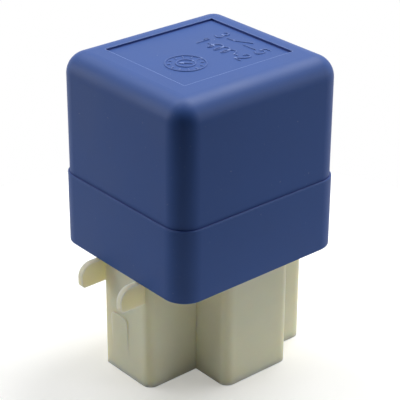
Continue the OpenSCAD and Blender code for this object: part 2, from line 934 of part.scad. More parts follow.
// Hooks pass through the lug below and the armature's tail above
module return_spring()
{
    r = (spring_d - spring_wire) / 2;
    steps = 12;
    hook = 0.6;
    hook_y = spring_y - hook;
    low = lug_low - 0.35;
    high = arm_z + arm_t + 0.3;
    first = lug_low + lug_t + 1.1;
    last = seat_z - 1.6;
    neck = 0.7;
    rise = (last - first) / spring_turns;
    color("silver")
    wire(concat([[0, hook_y - hook, low + 1]],
                [for (a = [180 : 45 : 360]) [0, hook_y + hook * cos(a), low + hook * sin(a)]],
                [[0, spring_y, first - neck]],
                [for (i = [0 : spring_turns * steps], a = 360 * i / steps)
                    [r * cos(a), spring_y + r * sin(a), first + rise * i / steps]],
                [[0, spring_y, last + neck]],
                [for (a = [0 : 45 : 180]) [0, hook_y + hook * cos(a), high + hook * sin(a)]],
                [[0, hook_y - hook, high - 1]]),
         spring_wire / 2, [1, 0, 0], 6);
}

// Flexible copper lead from the top of terminal 3 to the contact spring
module pigtail()
{
    x = upright_mid;
    r = pigtail_d / 2;
    back = yoke_back - blade_t - r;
    land_y = yoke_front + 1.9;
    land_z = leaf_z + leaf_t + r + (land_y - pivot_y) * sin(open_deg) + 0.06;
    color("chocolate")
    wire([[x, back, upright_top - 2.6], [x, back, upright_top - 1.2], [x, back, upright_top],
          [x, back - 0.1, upright_top + 1.2], [x, back, upright_top + 2.6], [x, back + 0.5, land_z - 0.1],
          [x, back + 1.2, land_z + 0.6], [x, back + 2.2, land_z + 0.8], [x, back + 3.2, land_z + 0.5],
          [x, land_y - 0.9, land_z + 0.1], [x, land_y, land_z], [x, land_y + 0.9, land_z + 0.05]],
         r, [1, 0, 0], 10);
}

module terminal_rivet()
{
    color("silver")
    translate([upright_mid, yoke_back - blade_t - joint_head_t, joint_z])
        rotate([-90, 0, 0])
            rotate_extrude()
                polygon([[0, 0], [joint_head_r - turned_edge, 0], [joint_head_r, turned_edge],
                         [joint_head_r, joint_head_t], [joint_r, joint_head_t],
                         [joint_r, joint_head_t + blade_t + yoke_t],
                         [0, joint_head_t + blade_t + yoke_t]]);
}

cover();
base();
terminal_1();
terminal_2();
terminal_3();
terminal_5();
yoke();
core();
bobbin();
coil();
armature();
contact_spring();
contact_spring_rivets();
moving_contact();
fixed_contact();
return_spring();
pigtail();
terminal_rivet();
lead_wire_1();
lead_wire_2();
solder_1();
solder_2();
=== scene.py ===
# %% [markdown]
# # A blade relay, from its mould to its magnet
# This lesson dresses a small automotive relay. The exact solids come from CAD and are
# loaded as a fixed frame, in metres: nothing in it is moved or reshaped. Blender adds what
# CAD leaves out: the moulded marks, the flat feet of the lock fins, the turns of the
# winding, the hollow of the solder, the strands of the flexible lead, the wire of the
# spring, and every surface finish.

import math

import bmesh
import bpy
from mathutils import Matrix, Vector


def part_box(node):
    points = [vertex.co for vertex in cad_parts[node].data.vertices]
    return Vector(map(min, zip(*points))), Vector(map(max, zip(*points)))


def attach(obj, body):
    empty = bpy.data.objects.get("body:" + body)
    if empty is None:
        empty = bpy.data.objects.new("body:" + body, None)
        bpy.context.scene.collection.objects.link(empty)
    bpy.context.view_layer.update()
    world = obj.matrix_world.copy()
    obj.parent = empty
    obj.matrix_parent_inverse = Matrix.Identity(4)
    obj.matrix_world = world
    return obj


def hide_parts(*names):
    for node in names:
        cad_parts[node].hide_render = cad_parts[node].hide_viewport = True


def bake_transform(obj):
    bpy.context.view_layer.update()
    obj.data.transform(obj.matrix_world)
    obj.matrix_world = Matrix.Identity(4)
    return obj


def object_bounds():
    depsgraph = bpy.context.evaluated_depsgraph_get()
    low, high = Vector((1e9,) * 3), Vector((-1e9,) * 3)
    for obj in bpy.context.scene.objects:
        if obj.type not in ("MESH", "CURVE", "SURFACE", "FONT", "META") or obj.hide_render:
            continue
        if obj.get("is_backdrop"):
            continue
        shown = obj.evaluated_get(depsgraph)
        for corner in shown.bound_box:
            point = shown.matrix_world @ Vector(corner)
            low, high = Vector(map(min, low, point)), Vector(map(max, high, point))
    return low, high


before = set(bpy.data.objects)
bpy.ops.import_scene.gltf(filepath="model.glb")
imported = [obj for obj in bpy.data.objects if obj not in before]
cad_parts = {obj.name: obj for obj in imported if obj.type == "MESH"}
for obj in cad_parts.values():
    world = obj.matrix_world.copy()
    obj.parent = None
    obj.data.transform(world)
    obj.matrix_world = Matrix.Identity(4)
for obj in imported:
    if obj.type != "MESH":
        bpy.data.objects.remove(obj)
cad_low, cad_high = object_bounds()
MM = 0.001
print("box in mm:", [round(v / MM, 2) for v in (cad_high - cad_low)])

# %% [markdown]
# ## Camera
# The view looks down on the relay's near corner from about a forearm away. A long lens
# keeps the upright edges nearly parallel. The camera is built from a direction, a
# distance and the point it is centred on, so that each number means something by itself.
# The same function of two angles gives the lamps their places later.

# %% Camera
def direction(azimuth, elevation):
    """From the relay towards that side and height, in degrees. Azimuth 0 is -Y and 90 is +X."""
    a, e = math.radians(azimuth), math.radians(elevation)
    return Vector((math.sin(a) * math.cos(e), -math.cos(a) * math.cos(e), math.sin(e)))


AZIMUTH, ELEVATION, ROLL = -40.424, 26.709, 0.268
DISTANCE = 210.04 * MM
CENTRED_ON = Vector((1.663, 1.797, 21.361)) * MM
SENSOR_WIDTH, FOCAL_LENGTH = 36, 137.19       # mm

toward_camera = direction(AZIMUTH, ELEVATION)
level = direction(AZIMUTH + 90, 0)
right = Matrix.Rotation(math.radians(ROLL), 3, toward_camera) @ level
turn = Matrix((right, toward_camera.cross(right), toward_camera)).transposed()

lens = bpy.data.cameras.new("camera")
lens.sensor_width, lens.lens = SENSOR_WIDTH, FOCAL_LENGTH
lens.clip_start, lens.clip_end = 10 * MM, 10
camera = bpy.data.objects.new("camera", lens)
camera.matrix_world = Matrix.Translation(CENTRED_ON + DISTANCE * toward_camera) @ turn.to_4x4()
bpy.context.scene.collection.objects.link(camera)
bpy.context.scene.camera = camera
bpy.context.scene.view_settings.view_transform = "Standard"
print("camera at", [round(v / MM, 1) for v in camera.matrix_world.translation], "mm")

# %% [markdown]
# ## Small helpers for materials
# Colours are written as sRGB hex, the way a paint or a plastic is quoted, and one function
# turns them to the linear values that the renderer needs. The next adds one node, sets
# its properties and fills its inputs with numbers or with another node's output.

# %% Colour and node helpers
def linear(code):
    """Linear RGBA of an sRGB hex colour such as '405B9B'."""
    parts = [int(code[i:i + 2], 16) / 255 for i in (0, 2, 4)]
    return [v / 12.92 if v <= 0.04045 else ((v + 0.055) / 1.055) ** 2.4 for v in parts] + [1]


def shaded(colour, shares):
    """A linear colour with its red, green and blue each multiplied by a share."""
    return [v * share for v, share in zip(colour[:3], shares)] + [1]


def add(tree, kind, inputs=(), **settings):
    """A new node of that kind. inputs pairs a socket with a value or with another's output."""
    made = tree.nodes.new(kind)
    for name, value in settings.items():
        setattr(made, name, value)
    for socket, value in dict(inputs).items():
        if isinstance(value, bpy.types.NodeSocket):
            tree.links.new(value, made.inputs[socket])
        else:
            made.inputs[socket].default_value = value
    return made


def new_material(name):
    """An empty node material, and the tree to build it in."""
    made = bpy.data.materials.new(name)
    made.use_nodes = True
    made.node_tree.nodes.clear()
    return made, made.node_tree


print("grey 808080 is", round(linear("808080")[0], 3), "in linear light")

# %% [markdown]
# ## Floor and room
# The relay stands on a round pale sheet in a white room. What glossy rays find belongs to
# the room, wherever one looks from: it is brightest low down at the far side, and fades to
# nothing overhead and at the near end. So the side walls of the cap get a thin veil of
# white, while the upright corner towards the dark end keeps its deep colour. The light
# that surfaces scatter comes from the lamps, the paper and a very dim room.

# %% Room brightness by direction
PALE = "F7F7F5"
away_from_camera = -direction(AZIMUTH, 0)


def room_glow(tree, way, brightest, sideways):
    """How bright a glossy ray finds the room: sideways across brightest, and more along it."""
    along = add(tree, "ShaderNodeVectorMath", {0: way, 1: brightest}, operation="DOT_PRODUCT")
    return add(tree, "ShaderNodeMath", {0: along.outputs["Value"], 1: sideways},
               operation="ADD", use_clamp=True).outputs[0]


def only_for(tree, ray):
    """1 for that kind of ray, such as 'Is Camera Ray', and 0 for the rest."""
    return add(tree, "ShaderNodeLightPath").outputs[ray]


print("the room glows towards", [round(v, 2) for v in away_from_camera])

# %% [markdown]
# The sheet is matt paper. For the camera alone it glows a little, which lifts it to white
# and still keeps the relay's shadow. For glossy rays it is a light that grows towards the
# far side. From below it is clear, so that one can look into the socket.

# %% Floor sheet
SHEET_RADIUS = 60 * MM
SHEET_LIFT = 0.35                             # glow that lifts the paper for the camera
SHEET_IN_GLOSS = 0.6                          # how bright a glossy ray finds the sheet's middle

floor_sheet, tree = new_material("floor_sheet")
paper = add(tree, "ShaderNodeBsdfDiffuse", {"Color": linear("EDEDEB")})
lift = add(tree, "ShaderNodeEmission", {"Color": linear(PALE), "Strength": SHEET_LIFT})
lit = add(tree, "ShaderNodeAddShader", {0: paper.outputs[0], 1: lift.outputs[0]})
place = add(tree, "ShaderNodeTexCoord").outputs["Object"]
outward = add(tree, "ShaderNodeVectorMath", {0: place, "Scale": 1 / SHEET_RADIUS},
              operation="SCALE")
glow = room_glow(tree, outward.outputs[0], SHEET_IN_GLOSS * away_from_camera, SHEET_IN_GLOSS)
veil = add(tree, "ShaderNodeEmission", {"Color": linear(PALE), "Strength": glow})
to_camera = add(tree, "ShaderNodeMixShader", {0: only_for(tree, "Is Camera Ray"),
                                              1: paper.outputs[0], 2: lit.outputs[0]})
to_gloss = add(tree, "ShaderNodeMixShader", {0: only_for(tree, "Is Glossy Ray"),
                                             1: to_camera.outputs[0], 2: veil.outputs[0]})
below = add(tree, "ShaderNodeNewGeometry").outputs["Backfacing"]
clear = add(tree, "ShaderNodeBsdfTransparent").outputs[0]
from_below = add(tree, "ShaderNodeMixShader", {0: below, 1: to_gloss.outputs[0], 2: clear})
add(tree, "ShaderNodeOutputMaterial", {"Surface": from_below.outputs[0]})

shape = bmesh.new()
bmesh.ops.create_circle(shape, cap_ends=True, radius=SHEET_RADIUS, segments=96)
floor_mesh = bpy.data.meshes.new("floor")
shape.to_mesh(floor_mesh)
shape.free()
floor = bpy.data.objects.new("floor", floor_mesh)
floor.location.z = cad_low.z
bpy.context.scene.collection.objects.link(floor)
floor_mesh.materials.append(floor_sheet)
floor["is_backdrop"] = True
print("floor at z", round(floor.location.z, 4))

# %% [markdown]
# The room has three strengths: white for the camera, the glow for glossy rays, and a dim
# light for everything else, so that the lamps do the modelling.

# %% Room
ROOM_LIGHT = 0.065                            # what the room gives to surfaces by itself
ROOM_IN_GLOSS = 0.2                           # how bright a glossy ray finds its side walls
DOWNWARD = Vector((0, 0, -0.9))               # and how much brighter it gets further down

world = bpy.data.worlds.new("studio")
bpy.context.scene.world = world
world.use_nodes = True
tree = world.node_tree
tree.nodes.clear()
view = add(tree, "ShaderNodeTexCoord").outputs["Generated"]
dim = add(tree, "ShaderNodeBackground", {"Color": linear("FFFFFF"), "Strength": ROOM_LIGHT})
glow = room_glow(tree, view, away_from_camera + DOWNWARD, ROOM_IN_GLOSS)
veil = add(tree, "ShaderNodeBackground", {"Color": linear("FFFFFF"), "Strength": glow})
white = add(tree, "ShaderNodeBackground", {"Color": linear("FFFFFF"), "Strength": 1})
to_gloss = add(tree, "ShaderNodeMixShader", {0: only_for(tree, "Is Glossy Ray"),
                                             1: dim.outputs[0], 2: veil.outputs[0]})
to_camera = add(tree, "ShaderNodeMixShader", {0: only_for(tree, "Is Camera Ray"),
                                              1: to_gloss.outputs[0], 2: white.outputs[0]})
add(tree, "ShaderNodeOutputWorld", {"Surface": to_camera.outputs[0]})
print("room:", world.name)

# %% [markdown]
# ## Soft boxes
# Four square soft boxes look at the middle of the relay. Two hang high at the back, for
# the top and its rounded rims. Two stand low at the sides, well off the near corner: each
# side wall is lit, and the rounded corner between them falls off, which shows its curve.

# %% Soft boxes
BOX_SIZE, BOX_AWAY = 0.3, 0.5                 # metres
SOFT_BOXES = (("high_right", 96, 60, 1.85), ("high_left", 185, 62, 1.1),
              ("left_box", 226, 18, 0.74), ("right_box", 48, 18, 0.66))

for name, azimuth, elevation, watts in SOFT_BOXES:
    lamp = bpy.data.lights.new(name, "AREA")
    lamp.shape, lamp.size, lamp.energy = "SQUARE", BOX_SIZE, watts
    soft_box = bpy.data.objects.new(name, lamp)
    back = direction(azimuth, elevation)
    soft_box.location = (cad_low + cad_high) / 2 + BOX_AWAY * back
    soft_box.rotation_mode = "QUATERNION"
    soft_box.rotation_quaternion = back.to_track_quat("Z", "Y")
    bpy.context.scene.collection.objects.link(soft_box)

# %% [markdown]
# ## Moulded plastics
# The cap, the base and the bobbin are injection moulded. The melt never mixes quite
# evenly, so the colour drifts a little over some millimetres. Outer edges are paler:
# partly rubbed by handling, partly a painted highlight. The cap's inner corners get
# painted shade, and a few specks of dust lie on the cap. Two ambient occlusion nodes find
# the places. Looking inwards, a point next to an outer edge soon meets the face round the
# corner. Looking outwards, a point in an inner corner sees less of the open air.

# %% Colour of a handled moulding, with painted shade and painted highlight
DRIFT_MM, DRIFT = 9, 0.07                     # size of the cloudy patches, and their strength
WORN_AND_LIT_EDGE_WIDE, WORN_AND_LIT_EDGE = 1.7, 0.75               # pale edge, rubbed and painted highlight: width in roundings, share
CREASE_SHADE_MM, CREASE_SHADE_TINT = 0.45, (0.14, 0.21, 0.55)     # reach of the painted shade in creases; what it leaves of RGB
SPECK_MM, DUST_COLOUR = 0.35, "C9CED6"
EDGE_RAYS = 8


def handled_colour_and_painted_light(tree, place, cloud, code, edge_colour_worn_and_lit, edge_mm, dust, crease_shade_share):
    """Colour: drift, dust, rubbed edges with painted highlight, painted shade in creases."""
    specks = add(tree, "ShaderNodeTexNoise",
                 {"Vector": place, "Scale": 1 / (SPECK_MM * MM), "Detail": 2.0})
    # outer edges, painted paler: partly rubbed by handling, partly a painted highlight
    thin = add(tree, "ShaderNodeAmbientOcclusion", {"Distance": WORN_AND_LIT_EDGE_WIDE * edge_mm * MM},
               samples=EDGE_RAYS, only_local=True, inside=True)
    # inner corners, for painted shade, found by looking outwards
    shut_in = add(tree, "ShaderNodeAmbientOcclusion", {"Distance": CREASE_SHADE_MM * MM},
                  samples=EDGE_RAYS, only_local=True)

    body = linear(code)
    melt = add(tree, "ShaderNodeMix", {0: cloud, 6: shaded(body, [1 - DRIFT] * 3),
                                       7: shaded(body, [1 + DRIFT] * 3)}, data_type="RGBA")
    # painted shade: inner corners darkened towards the crease tint
    crease_shade_mask = add(tree, "ShaderNodeMapRange",
                {"Value": shut_in.outputs["AO"], "From Min": 0.5, "From Max": 0.97,
                 "To Min": crease_shade_share, "To Max": 0.0})
    creased = add(tree, "ShaderNodeMix", {0: crease_shade_mask.outputs[0], 6: melt.outputs[2],
                                          7: shaded(body, CREASE_SHADE_TINT)}, data_type="RGBA")
    # painted highlight on outer edges, together with real rubbing
    edge = add(tree, "ShaderNodeMapRange",
               {"Value": thin.outputs["AO"], "From Min": 0.9, "From Max": 0.55,
                "To Min": 0.0, "To Max": WORN_AND_LIT_EDGE})
    edge_worn_and_lit = add(tree, "ShaderNodeMix", {0: edge.outputs[0], 6: creased.outputs[2],
                                       7: linear(edge_colour_worn_and_lit)}, data_type="RGBA")
    settled = add(tree, "ShaderNodeMapRange",
                  {"Value": specks.outputs["Fac"], "From Min": 0.75, "From Max": 0.8,
                   "To Min": 0.0, "To Max": dust})
    return add(tree, "ShaderNodeMix", {0: settled.outputs[0], 6: edge_worn_and_lit.outputs[2],
                                       7: linear(DUST_COLOUR)}, data_type="RGBA").outputs[2]


# the reach of the painted shade in inner corners
print("painted_shade reaches", CREASE_SHADE_MM, "mm out of a corner")

# %% [markdown]
# ### Surface of a moulding
# A spark-eroded mould leaves a fine even grain and a soft sheen. The grain is about
# 0.03 mm, too fine to show at this size, so it is drawn four times as coarse. Edges are
# slightly rounded, which a Bevel node gives to the shading. Natural nylon also lets light
# in. One function makes all three plastics, because they differ only in colour, gloss,
# wear and in how far light gets into them.

# %% Finish for moulded plastic
GRAIN_MM = 0.12
NOISE_LOW, NOISE_HIGH = 0.3, 0.7              # a noise pattern rarely leaves this range
SHEEN_DRIFT = 0.04
LIGHT_DEPTH, DEPTH_BY_COLOUR = 3.0, (1.0, 0.8, 0.5)   # mm; red goes deeper than blue


def moulded(name, code, edge_colour_worn_and_lit, depth_mm, edge_mm, roughness, gloss, dust=0.0, crease_shade_share=0.0,
            lets_light_in=None):
    """Moulded plastic: edge colour (rubbed, painted highlight), dust and painted crease shade."""
    made, tree = new_material(name)
    place = add(tree, "ShaderNodeTexCoord").outputs["Object"]
    cloud = add(tree, "ShaderNodeTexNoise",
                {"Vector": place, "Scale": 1 / (DRIFT_MM * MM), "Detail": 3.0}).outputs["Fac"]
    grain = add(tree, "ShaderNodeTexNoise",
                {"Vector": place, "Scale": 1 / (GRAIN_MM * MM), "Detail": 3.0})
    colour = handled_colour_and_painted_light(tree, place, cloud, code, edge_colour_worn_and_lit, edge_mm, dust, crease_shade_share)
    sheen = add(tree, "ShaderNodeMapRange",
                {"Value": cloud, "From Min": NOISE_LOW, "From Max": NOISE_HIGH,
                 "To Min": roughness - SHEEN_DRIFT, "To Max": roughness + SHEEN_DRIFT})
    soft = add(tree, "ShaderNodeBevel", {"Radius": edge_mm * MM}, samples=EDGE_RAYS)
    bump = add(tree, "ShaderNodeBump",
               {"Height": grain.outputs["Fac"], "Distance": depth_mm * MM, "Strength": 1.0,
                "Normal": soft.outputs[0]})
    shader = add(tree, "ShaderNodeBsdfPrincipled",
                 {"Base Color": colour, "Roughness": sheen.outputs[0],
                  "Specular IOR Level": gloss, "Normal": bump.outputs[0]})
    if lets_light_in:
        shader.inputs["Subsurface Weight"].default_value = lets_light_in
        shader.inputs["Subsurface Radius"].default_value = DEPTH_BY_COLOUR
        shader.inputs["Subsurface Scale"].default_value = LIGHT_DEPTH * MM
    add(tree, "ShaderNodeOutputMaterial", {"Surface": shader.outputs[0]})
    return made


def wear(finish, *nodes):
    """Puts a finish on CAD nodes in place of the one they came with."""
    for name in nodes:
        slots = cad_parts[name].data.materials
        slots.clear()
        slots.append(finish)


print("grain drawn at", GRAIN_MM, "mm")

# %% [markdown]
# ### Blue PBT, unfilled natural nylon, natural bobbin nylon
# The cap is a stiff polyester, PBT, coloured blue: matt, and opaque. The base is nylon 66
# without pigment, the colour of old ivory. Light goes a few millimetres into it, which
# warms its shaded sides and makes the thin lock fins glow. The bobbin is the same family
# of nylon, paler and drier looking.

# %% The three plastics
# the cap's inner corners get painted shade; every plastic's outer edges are paler, partly painted
# highlight
cap_pbt = moulded("blue_moulded_pbt", "385A9F", "8FA6E0", depth_mm=0.01, edge_mm=0.09,
                  roughness=0.5, gloss=0.38, dust=0.4, crease_shade_share=0.9)
ivory_nylon = moulded("natural_moulded_nylon", "F2EBCC", "F5F3E4", depth_mm=0.006,
                      edge_mm=0.15, roughness=0.42, gloss=0.35, lets_light_in=0.9)
bobbin_nylon = moulded("pale_bobbin_nylon", "ECEADF", "F4F3EC", depth_mm=0.006,
                       edge_mm=0.1, roughness=0.45, gloss=0.4, lets_light_in=0.6)
wear(cap_pbt, "cover")
wear(ivory_nylon, "base")
wear(bobbin_nylon, "bobbin")
print("plastics:", [m.name for m in (cap_pbt, ivory_nylon, bobbin_nylon)])

# %% [markdown]
# ## A bar swept along a path
# Moulded ribs, coil turns, strands and spring wire are one form: a round section that
# follows a line. A curve object with a bevel would do it too, but a mesh built ring by
# ring can be flattened where a rope is pressed. Each ring is turned as little as possible
# from the one before it, so the bar does not twist by itself, and two smaller rings at
# each end make a dome.

# %% Sweep helper
DOME = ((0.92, 0.38), (0.6, 0.8))             # how far past the end, and how wide, in radii


def sweep(shape, path, radius, sides=8, press=None):
    """Adds a round bar along the points. press(i) flattens ring i: (direction, share)."""
    path = [Vector(p) for p in path]
    last = len(path) - 1
    ways = [(path[min(i + 1, last)] - path[max(i - 1, 0)]).normalized() for i in range(last + 1)]
    stations = [(path[i], ways[i], 1.0, i) for i in range(last + 1)]
    before = [(path[0] - far * radius * ways[0], ways[0], wide, 0) for far, wide in DOME]
    after = [(path[last] + far * radius * ways[last], ways[last], wide, last)
             for far, wide in reversed(DOME)]
    side = ways[0].orthogonal().normalized()
    rings = []
    for centre, way, wide, i in before + stations + after:
        side = (side - way * side.dot(way)).normalized()
        up = way.cross(side)
        ring = []
        for k in range(sides):
            turn = 2 * math.pi * k / sides
            offset = radius * wide * (math.cos(turn) * side + math.sin(turn) * up)
            if press:
                flat_way, share = press(i)
                offset -= flat_way * offset.dot(flat_way) * share
            ring.append(shape.verts.new(centre + offset))
        rings.append(ring)
    for a, b in zip(rings, rings[1:]):
        for k in range(sides):
            n = (k + 1) % sides
            shape.faces.new((a[k], a[n], b[n], b[k]))
    shape.faces.new(list(reversed(rings[0])))
    shape.faces.new(rings[-1])


def through(points, steps):
    """A smooth line through the points, with that many steps between two of them."""
    points = [Vector(p) for p in points]
    padded = [2 * points[0] - points[1]] + points + [2 * points[-1] - points[-2]]
    line = []
    for a, b, c, d in zip(padded, padded[1:], padded[2:], padded[3:]):
        for i in range(steps):
            t = i / steps
            line.append(0.5 * (2 * b + (c - a) * t + (2 * a - 5 * b + 4 * c - d) * t ** 2
                               + (3 * b - a - 3 * c + d) * t ** 3))
    return line + [points[-1]]


print("a bar's dome stands", DOME[0][0], "radii past its end")

# %% [markdown]
# Each piece that is made here ends the same way: its faces are smoothed, it gets its
# finish, the CAD nodes it stands for are hidden, and it is tied to the housing unless it
# is given no body.

# %% Finish a piece
def finish_piece(name, shape, finish, body="housing", instead_of=()):
    """Turns a bmesh into a smooth piece of the relay, with its material and body."""
    mesh = bpy.data.meshes.new(name)
    for face in shape.faces:
        face.smooth = True
    shape.to_mesh(mesh)
    shape.free()
    made = bpy.data.objects.new(name, mesh)
    bpy.context.scene.collection.objects.link(made)
    mesh.materials.append(finish)
    if body:
        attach(made, body)
    if instead_of:
        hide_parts(*instead_of)
    print(name, "has", len(mesh.polygons), "faces")
    return made


def box_in_mm(name):
    """The box of a CAD node in mm: lowest corner, highest corner."""
    low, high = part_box(name)
    return low / MM, high / MM


print("the winding reaches up to", round(box_in_mm("coil")[1].z, 2), "mm")

# %% [markdown]
# ## Lock fins of the base
# Two thin fins on the -X wall spring into the holder. Seen from the side each is a D: a
# round shoulder on top, a flat foot, and a straight upper edge that runs back to the
# wall. The CAD's fins are too round below and notched above, so the base is drawn here
# with its fins cut away and D-shaped ones joined on. A Boolean modifier does both,
# because both bodies are closed and the wall's other faces stay as they are.

# %% Cut and join closed bodies
def slab(outline, y_from, y_to):
    """A closed plate: an outline of (x, z) in mm, as thick as from y_from to y_to."""
    shape = bmesh.new()
    near = [shape.verts.new(Vector((x, y_from, z)) * MM) for x, z in outline]
    far = [shape.verts.new(Vector((x, y_to, z)) * MM) for x, z in outline]
    shape.faces.new(near)
    shape.faces.new(reversed(far))
    for i in range(len(outline)):
        n = (i + 1) % len(outline)
        shape.faces.new((near[n], near[i], far[i], far[n]))
    bmesh.ops.recalc_face_normals(shape, faces=shape.faces)
    mesh = bpy.data.meshes.new("slab")
    shape.to_mesh(mesh)
    shape.free()
    tool = bpy.data.objects.new("slab", mesh)
    bpy.context.scene.collection.objects.link(tool)
    return tool


def combine(body, tool, operation):
    """Cuts the tool out of the body or joins it on, and throws the tool away."""
    change = body.modifiers.new(operation, "BOOLEAN")
    change.operation, change.object, change.solver = operation, tool, "EXACT"
    seen = body.evaluated_get(bpy.context.evaluated_depsgraph_get())
    result = bpy.data.meshes.new_from_object(seen)
    body.modifiers.clear()
    body.data = result
    bpy.data.objects.remove(tool)


print("closed bodies are cut and joined by the exact solver")

# %% [markdown]
# The outline is drawn in the plane of the fin, X and Z, as two quarter rounds joined by
# straight lines. Its place hangs on the cap's skirt, which the fins nearly touch, and on
# the outermost point of the CAD's fins, so the new ones stay inside the same box.

# %% Outline of a fin
FIN_THICK, FIN_TALL, SHOULDER, TOE = 0.9, 3.35, 1.9, 0.6      # mm; the last two are radii
ROOT = 0.2                                    # how deep a new fin is sunk into the wall
cap_low = box_in_mm("cover")[0]
tip = box_in_mm("base")[0].x
wall_x = cap_low.x + 0.9                      # the shroud's -X wall stands this far inside the cap
fin_top = cap_low.z - 0.1
fin_foot = fin_top - FIN_TALL

outline = [(wall_x + ROOT, fin_foot)]
for radius, x, z, start in ((TOE, tip + TOE, fin_foot + TOE, 1.5),
                            (SHOULDER, tip + SHOULDER, fin_top - SHOULDER, 1.0)):
    for k in range(17):
        turn = math.pi * (start - k / 32)
        outline.append((x + radius * math.cos(turn), z + radius * math.sin(turn)))
outline.append((wall_x + ROOT, fin_top))
print("a fin stands out", round(wall_x - tip, 2), "mm and is", FIN_TALL, "mm tall")

# %% [markdown]
# The Boolean leaves some corners that lie on one spot. They are merged and the faces are
# cut into triangles, which closes the new base again.

# %% Base with D-shaped fins
SPARE, PAST = 0.3, 2                          # mm cut beside a fin, and above and below it
SPECK = 0.001 * MM                            # points closer than a micrometre are one

body = bpy.data.objects.new("base_copy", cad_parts["base"].data.copy())
bpy.context.scene.collection.objects.link(body)
for fin_y in (-4.3, 4.2):
    around = [(tip - 1, fin_foot - PAST), (wall_x, fin_foot - PAST), (wall_x, fin_top + PAST),
              (tip - 1, fin_top + PAST)]
    combine(body, slab(around, fin_y - SPARE, fin_y + FIN_THICK + SPARE), "DIFFERENCE")
    combine(body, slab(outline, fin_y, fin_y + FIN_THICK), "UNION")
shape = bmesh.new()
shape.from_mesh(body.data)
bpy.data.objects.remove(body)
bmesh.ops.remove_doubles(shape, verts=shape.verts, dist=SPECK)
bmesh.ops.dissolve_degenerate(shape, edges=shape.edges, dist=SPECK)
bmesh.ops.triangulate(shape, faces=[face for face in shape.faces if len(face.verts) > 3])
print("open edges in the base:", sum(len(edge.link_faces) != 2 for edge in shape.edges))
moulded_base = finish_piece("moulded_base", shape, ivory_nylon,
                            instead_of=("base",))

# %% [markdown]
# A Boolean forgets by which direction each corner of a face was shaded. Corners that the
# CAD base has at the same spot get its direction back. The curves of the new fins are
# shaded straight out from their middles, and everything else lies flat.

# %% Shading of the new base
ALIKE = math.cos(math.radians(25))            # a CAD direction further off is another face's


def spot(co):
    """The same key for all corners within a hundredth of a millimetre."""
    return tuple(round(value / (0.01 * MM)) for value in co)


cad_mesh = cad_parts["base"].data
cad_shading = {}
for loop, normal in zip(cad_mesh.loops, cad_mesh.corner_normals):
    here = spot(cad_mesh.vertices[loop.vertex_index].co)
    cad_shading.setdefault(here, []).append(normal.vector.copy())


def shaded_by(co, facing):
    """The direction that shades a corner at co of a face that faces that way."""
    if co.x < (wall_x - 0.4) * MM and abs(facing.y) < 0.5:
        for radius, z, up in ((SHOULDER, fin_top - SHOULDER, 1), (TOE, fin_foot + TOE, -1)):
            away = co - Vector(((tip + radius) * MM, co.y, z * MM))
            if away.x < SPECK and away.z * up > -SPECK:
                return away.normalized()
        return facing
    nearest = max(cad_shading.get(spot(co), [facing]), key=facing.dot)
    return nearest if nearest.dot(facing) > ALIKE else facing


mesh = moulded_base.data
directions = []
for face in mesh.polygons:
    directions += [shaded_by(mesh.vertices[k].co, face.normal) for k in face.vertices]
mesh.normals_split_custom_set(directions)
print("shaded corners:", len(directions))

# %% [markdown]
# ## Marks moulded into the cap
# A relay carries its wiring plan on top: the contact between blades 3 and 5, and the coil
# between 1 and 2. On a moulded cap these are fine ribs that stand on the floor of the
# label panel, as high as half their width. They read from the lock side, so a digit's top
# points to +X. Each stroke is a short line of points in millimetres, swept as a bar that
# is sunk to its middle.

# %% Strokes of plain digits
# each stroke: points as shares of the digit's width and height, from its middle, and
# whether it is curved
DIGITS = {
    "1": [([(-0.3, 0.27), (0.08, 0.5), (0.08, -0.5)], False)],
    "2": [([(-0.46, 0.24), (-0.3, 0.44), (0.02, 0.5), (0.36, 0.4), (0.42, 0.16), (0.2, -0.1),
            (-0.2, -0.34), (-0.46, -0.5)], True),
          ([(-0.46, -0.5), (0.48, -0.5)], False)],
    "3": [([(-0.42, 0.38), (-0.1, 0.5), (0.3, 0.42), (0.4, 0.22), (0.24, 0.06),
            (-0.08, 0.02)], True),
          ([(-0.08, 0.02), (0.3, -0.04), (0.46, -0.24), (0.32, -0.44), (-0.06, -0.5),
            (-0.46, -0.38)], True)],
    "5": [([(0.4, 0.5), (-0.34, 0.5), (-0.4, 0.06)], False),
          ([(-0.4, 0.06), (-0.06, 0.16), (0.34, 0.08), (0.46, -0.16), (0.32, -0.42),
            (-0.06, -0.5), (-0.46, -0.38)], True)],
}


def digit_lines(digit, middle, width, height, rightward, upward):
    """The digit's strokes as lines in space, in mm, from its middle and two directions."""
    middle, rightward, upward = Vector(middle), Vector(rightward), Vector(upward)
    lines = []
    for points, curved in DIGITS[digit]:
        line = [middle + u * width * rightward + v * height * upward for u, v in points]
        lines.append(through(line, 5) if curved else line)
    return lines


print("digits:", sorted(DIGITS))

# %% Wiring plan
PANEL_DEEP = 0.3                              # mm, the label panel below the cap's top
RIB = 0.13                                    # mm, radius of a moulded stroke
ALONG, UPWARD = (0, -1, 0), (1, 0, 0)         # reading direction and top of a digit
DIGIT_WIDE, DIGIT_TALL = 1.15, 2.1
CONTACT_ROW, COIL_ROW = 6.9, 3.5              # X of the two rows
panel_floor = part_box("cover")[1].z / MM - PANEL_DEEP

strokes = []
for digit, x, y in (("3", CONTACT_ROW, 3.5), ("5", CONTACT_ROW, -4.35), ("1", COIL_ROW, 3.55),
                    ("2", COIL_ROW + 0.2, -4.35)):
    strokes += digit_lines(digit, (x, y, panel_floor), DIGIT_WIDE, DIGIT_TALL, ALONG, UPWARD)

# the open contact: a lead, the blade that stands off, and the fixed lead
for start, end in (((6.7, 2.3), (6.75, 0.9)), ((6.75, 0.9), (8.0, -1.4)),
                   ((6.7, -1.1), (6.7, -3.25))):
    strokes.append([(*start, panel_floor), (*end, panel_floor)])

